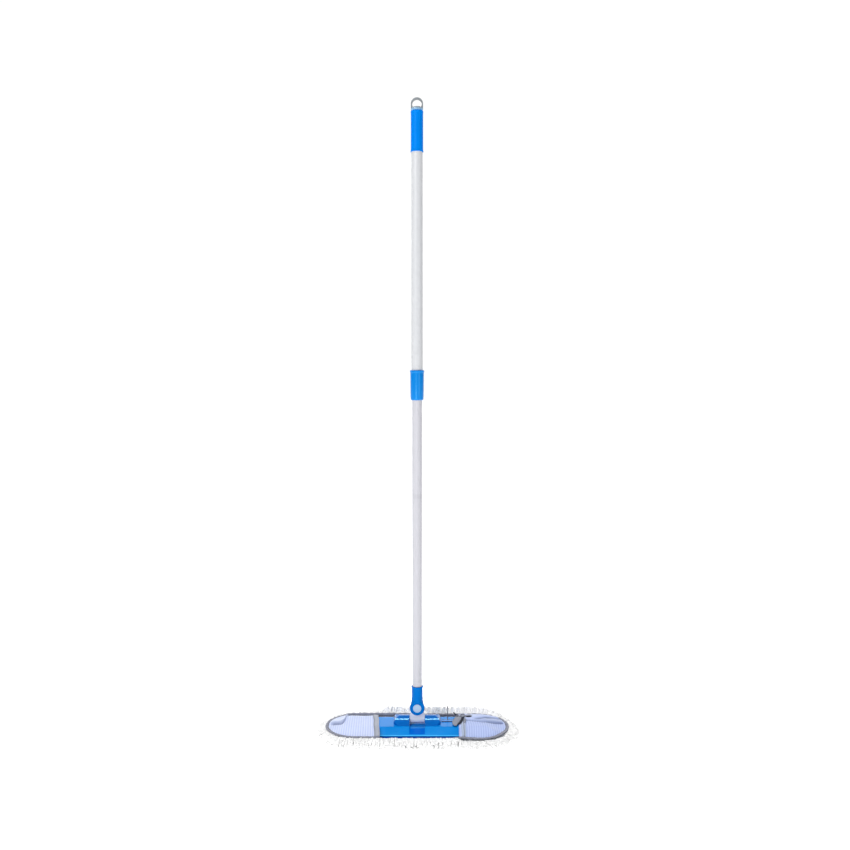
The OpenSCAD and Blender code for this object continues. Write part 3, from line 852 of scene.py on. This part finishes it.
def make_tie():
    """A flattened bow at the right pocket's mouth, its shaded parts made as separate dark ribbons of painted
    shade: points and widths are in millimetres from the knot.
    """
    light, dark = Heap(), Heap()

    def add(heap, points, across, width, n=26, taper=0.0):
        path = TIE_KNOT + curve(points, n) * MM
        widths = width * MM * (1 - taper * np.linspace(0, 1, n) ** 3)
        heap.add(*ribbon(path, widths, curve([across] * len(points), n)))

    # a loop to the right with its shaded inside, and a loop to the left
    add(light, [(0, 0, 2.6), (6, 1, 4.6), (12, 3, 5.2), (17, 4, 4.4), (18.5, 3, 3.2)], (0, 1, 0.2), 5)
    add(dark, [(1, -1, 1.8), (7, -1, 2.6), (13, 0, 2.8), (17.5, 2, 2.6), (19, 3, 3)], (0, 1, 0.5), 5.5)
    left_loop = [(0, 0, 2.6), (-5, 3, 4.2), (-10, 5, 4.4), (-13, 4, 2.8), (-9, 1, 1.6), (0, 0, 2)]
    add(light, left_loop, (0.2, 1, 0), 6)
    # a wide tail to the lower left, a narrow one along the hem, and a shaded one between them
    wide_tail = [(-3, 0, 3), (-8, -8, 3), (-12, -18, 1.7), (-15, -29, 0.9), (-15, -40, 0.6)]
    add(light, wide_tail, (1, -0.25, 0), 16, 24, 0.7)
    add(light, [(1, 0, 2.4), (4, -7, 2.2), (4.5, -16, 1.2), (3, -26, 0.9)], (0.95, 0.3, 0), 6, 18, 0.3)
    add(dark, [(1.5, -3, 4.4), (-0.5, -12, 3.6), (-4, -24, 2.4), (-8, -34, 1.4)], (1, 0.1, 0.2), 6, 18, 0.3)
    # short tips to the upper left, the first a dark ribbon of painted shade
    add(dark, [(-8, 2, 4.2), (-12, 5, 5), (-15, 9, 6.4), (-17, 12, 7.5)], (0.7, 0.6, 0.5), 3.8, 16, 0.6)
    add(light, [(-6, 3, 3.2), (-10, 7, 4), (-13, 11, 5)], (0.6, 0.8, 0.1), 4.5, 14, 0.4)
    # the knot
    knot = [(-4, -4, 1.5), (-4.5, -1, 4), (-3, 3, 5.6), (1, 5, 5.4), (4.2, 3, 4.6), (4.6, -1, 4.2), (3, -4, 2)]
    add(light, knot, (0.4, -0.2, 1), 4.5)
    add(light, [(-3, 4, 3), (-1, 1, 5.6), (1, -2, 5.8), (2.5, -5, 3)], (1, 0.5, 0.3), 6.5, 18)

    # the dark ribbons are painted shade: the tape's shaded inside and underside
    made = [light.piece("tie_ribbon", "tie_tape"), dark.piece("tie_ribbon_shade", "tie_dark")]
    for m in made:
        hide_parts("tie_tape")
    return made


# ---------------------------------------------------------------- build

binding = make_binding()
stitches = make_stitches()
left_mesh, left_cloth = make_pocket(
    "left_mesh", "left_pocket", -1, folds_left, waver_left, skew_left, "mesh_left")
right_mesh, right_cloth = make_pocket(
    "right_mesh", "right_pocket", 1, folds_right, waver_right, skew_right, "mesh_right")
left_hem = make_hem(
    "left_hem_tape", "left_hem", left_cloth, skew_left, [(0.1, 0.11, 0.9), (0.82, 0.05, 0.3)])
right_hem = make_hem(
    "right_hem_tape", "right_hem", right_cloth, skew_right, [(0.62, 0.15, 0.95), (0.1, 0.04, 0.3)])
fringe = make_fringe()
sole = make_sole()
base = make_base()
tie = make_tie()


# ---------------------------------------------------------------- floor, light, camera

def make_floor():
    """A plain white floor that glows a little, so that it shows almost no shadow."""
    half = 30
    data = bpy.data.meshes.new("floor")
    data.from_pydata([(-half, -half, 0), (half, -half, 0), (half, half, 0), (-half, half, 0)], [], [(0, 1, 2, 3)])
    n = Nodes("floor_paint")
    n.set(Base_Color=n.mix(n.noise(3, 2), (0.93, 0.93, 0.93), (0.95, 0.95, 0.95)))
    n.set(Roughness=n.ramp(n.noise(20, 2), 0.85, 0.95), Specular_IOR_Level=0.1)
    n.set(Emission_Color=(1, 1, 1, 1), Emission_Strength=0.9)
    data.materials.append(n.mat)
    made = bpy.data.objects.new("floor", data)
    bpy.context.scene.collection.objects.link(made)


def area_light(name, place, aim, size, radiance):
    """A soft rectangle of light, as bright as radiance says whatever its size."""
    data = bpy.data.lights.new(name, "AREA")
    data.shape, data.size, data.size_y = "RECTANGLE", size[0], size[1]
    data.energy = radiance * math.pi * size[0] * size[1]
    made = bpy.data.objects.new(name, data)
    made.location = place
    made.rotation_euler = (Vector(aim) - Vector(place)).to_track_quat("-Z", "Y").to_euler()
    bpy.context.scene.collection.objects.link(made)


def make_world():
    """A dim studio with a white backdrop: bright low down behind the object, dark overhead and in front.
    Where the camera sees it directly, it is plain white."""
    backdrop, ambient = 0.93, 0.1
    behind = (1, (0.3, 0.75), (0.0, 1.0))
    low_down = (2, (0.42, 0.62), (1.0, 0.0))
    world = bpy.data.worlds.new("studio")
    bpy.context.scene.world = world
    world.use_nodes = True
    tree = world.node_tree
    tree.nodes.clear()

    def combine(operation, *values):
        node = tree.nodes.new("ShaderNodeMath")
        node.operation = operation
        for socket, value in zip(node.inputs, values):
            if isinstance(value, bpy.types.NodeSocket):
                tree.links.new(value, socket)
            else:
                socket.default_value = value
        return node.outputs[0]

    coord = tree.nodes.new("ShaderNodeTexCoord")
    split = tree.nodes.new("ShaderNodeSeparateXYZ")
    tree.links.new(coord.outputs["Generated"], split.inputs[0])
    parts = []
    for axis, ends, values in (behind, low_down):
        ramp = tree.nodes.new("ShaderNodeMapRange")
        ramp.interpolation_type = "SMOOTHSTEP"
        tree.links.new(split.outputs[axis], ramp.inputs["Value"])
        ramp.inputs["From Min"].default_value, ramp.inputs["From Max"].default_value = ends
        ramp.inputs["To Min"].default_value, ramp.inputs["To Max"].default_value = values
        parts.append(ramp.outputs[0])
    glow = combine("MULTIPLY_ADD", combine("MULTIPLY", *parts), backdrop, ambient)
    seen = tree.nodes.new("ShaderNodeLightPath").outputs["Is Camera Ray"]
    back = tree.nodes.new("ShaderNodeBackground")
    back.inputs["Color"].default_value = (1, 1, 1, 1)
    tree.links.new(combine("MAXIMUM", seen, glow), back.inputs["Strength"])
    out = tree.nodes.new("ShaderNodeOutputWorld")
    tree.links.new(back.outputs[0], out.inputs[0])


def make_camera():
    """The photograph's viewpoint: 1.8 m in front of the mop, looking a little down."""
    picture_px, focal_px, sensor_mm, down_degrees = 850, 930, 36, 3
    data = bpy.data.cameras.new("camera")
    data.sensor_width, data.lens = sensor_mm, sensor_mm * focal_px / picture_px
    data.clip_start, data.clip_end = 0.05, 60
    made = bpy.data.objects.new("camera", data)
    made.location = (0.0153, -1.8, 0.7045)
    made.rotation_euler = (math.radians(90 - down_degrees), 0, 0)
    bpy.context.scene.collection.objects.link(made)
    bpy.context.scene.camera = made


make_floor()
make_world()
area_light("key", place=(-1.5, -2.3, 1.9), aim=(0, 0, 0.5), size=(1.5, 1.5), radiance=7.0)
area_light("fill", place=(1.7, -2.2, 1.1), aim=(0, 0, 0.4), size=(1.2, 1.6), radiance=1.7)
area_light("top_strip", place=(0, 0.45, 2.4), aim=(0, 0, 0.03), size=(2.4, 0.3), radiance=20)
area_light("front_strip", place=(-0.56, -2.05, 0.44), aim=(0, 0, 0.5), size=(0.5, 0.42), radiance=7)
make_camera()
bpy.context.scene.view_settings.view_transform = "Standard"
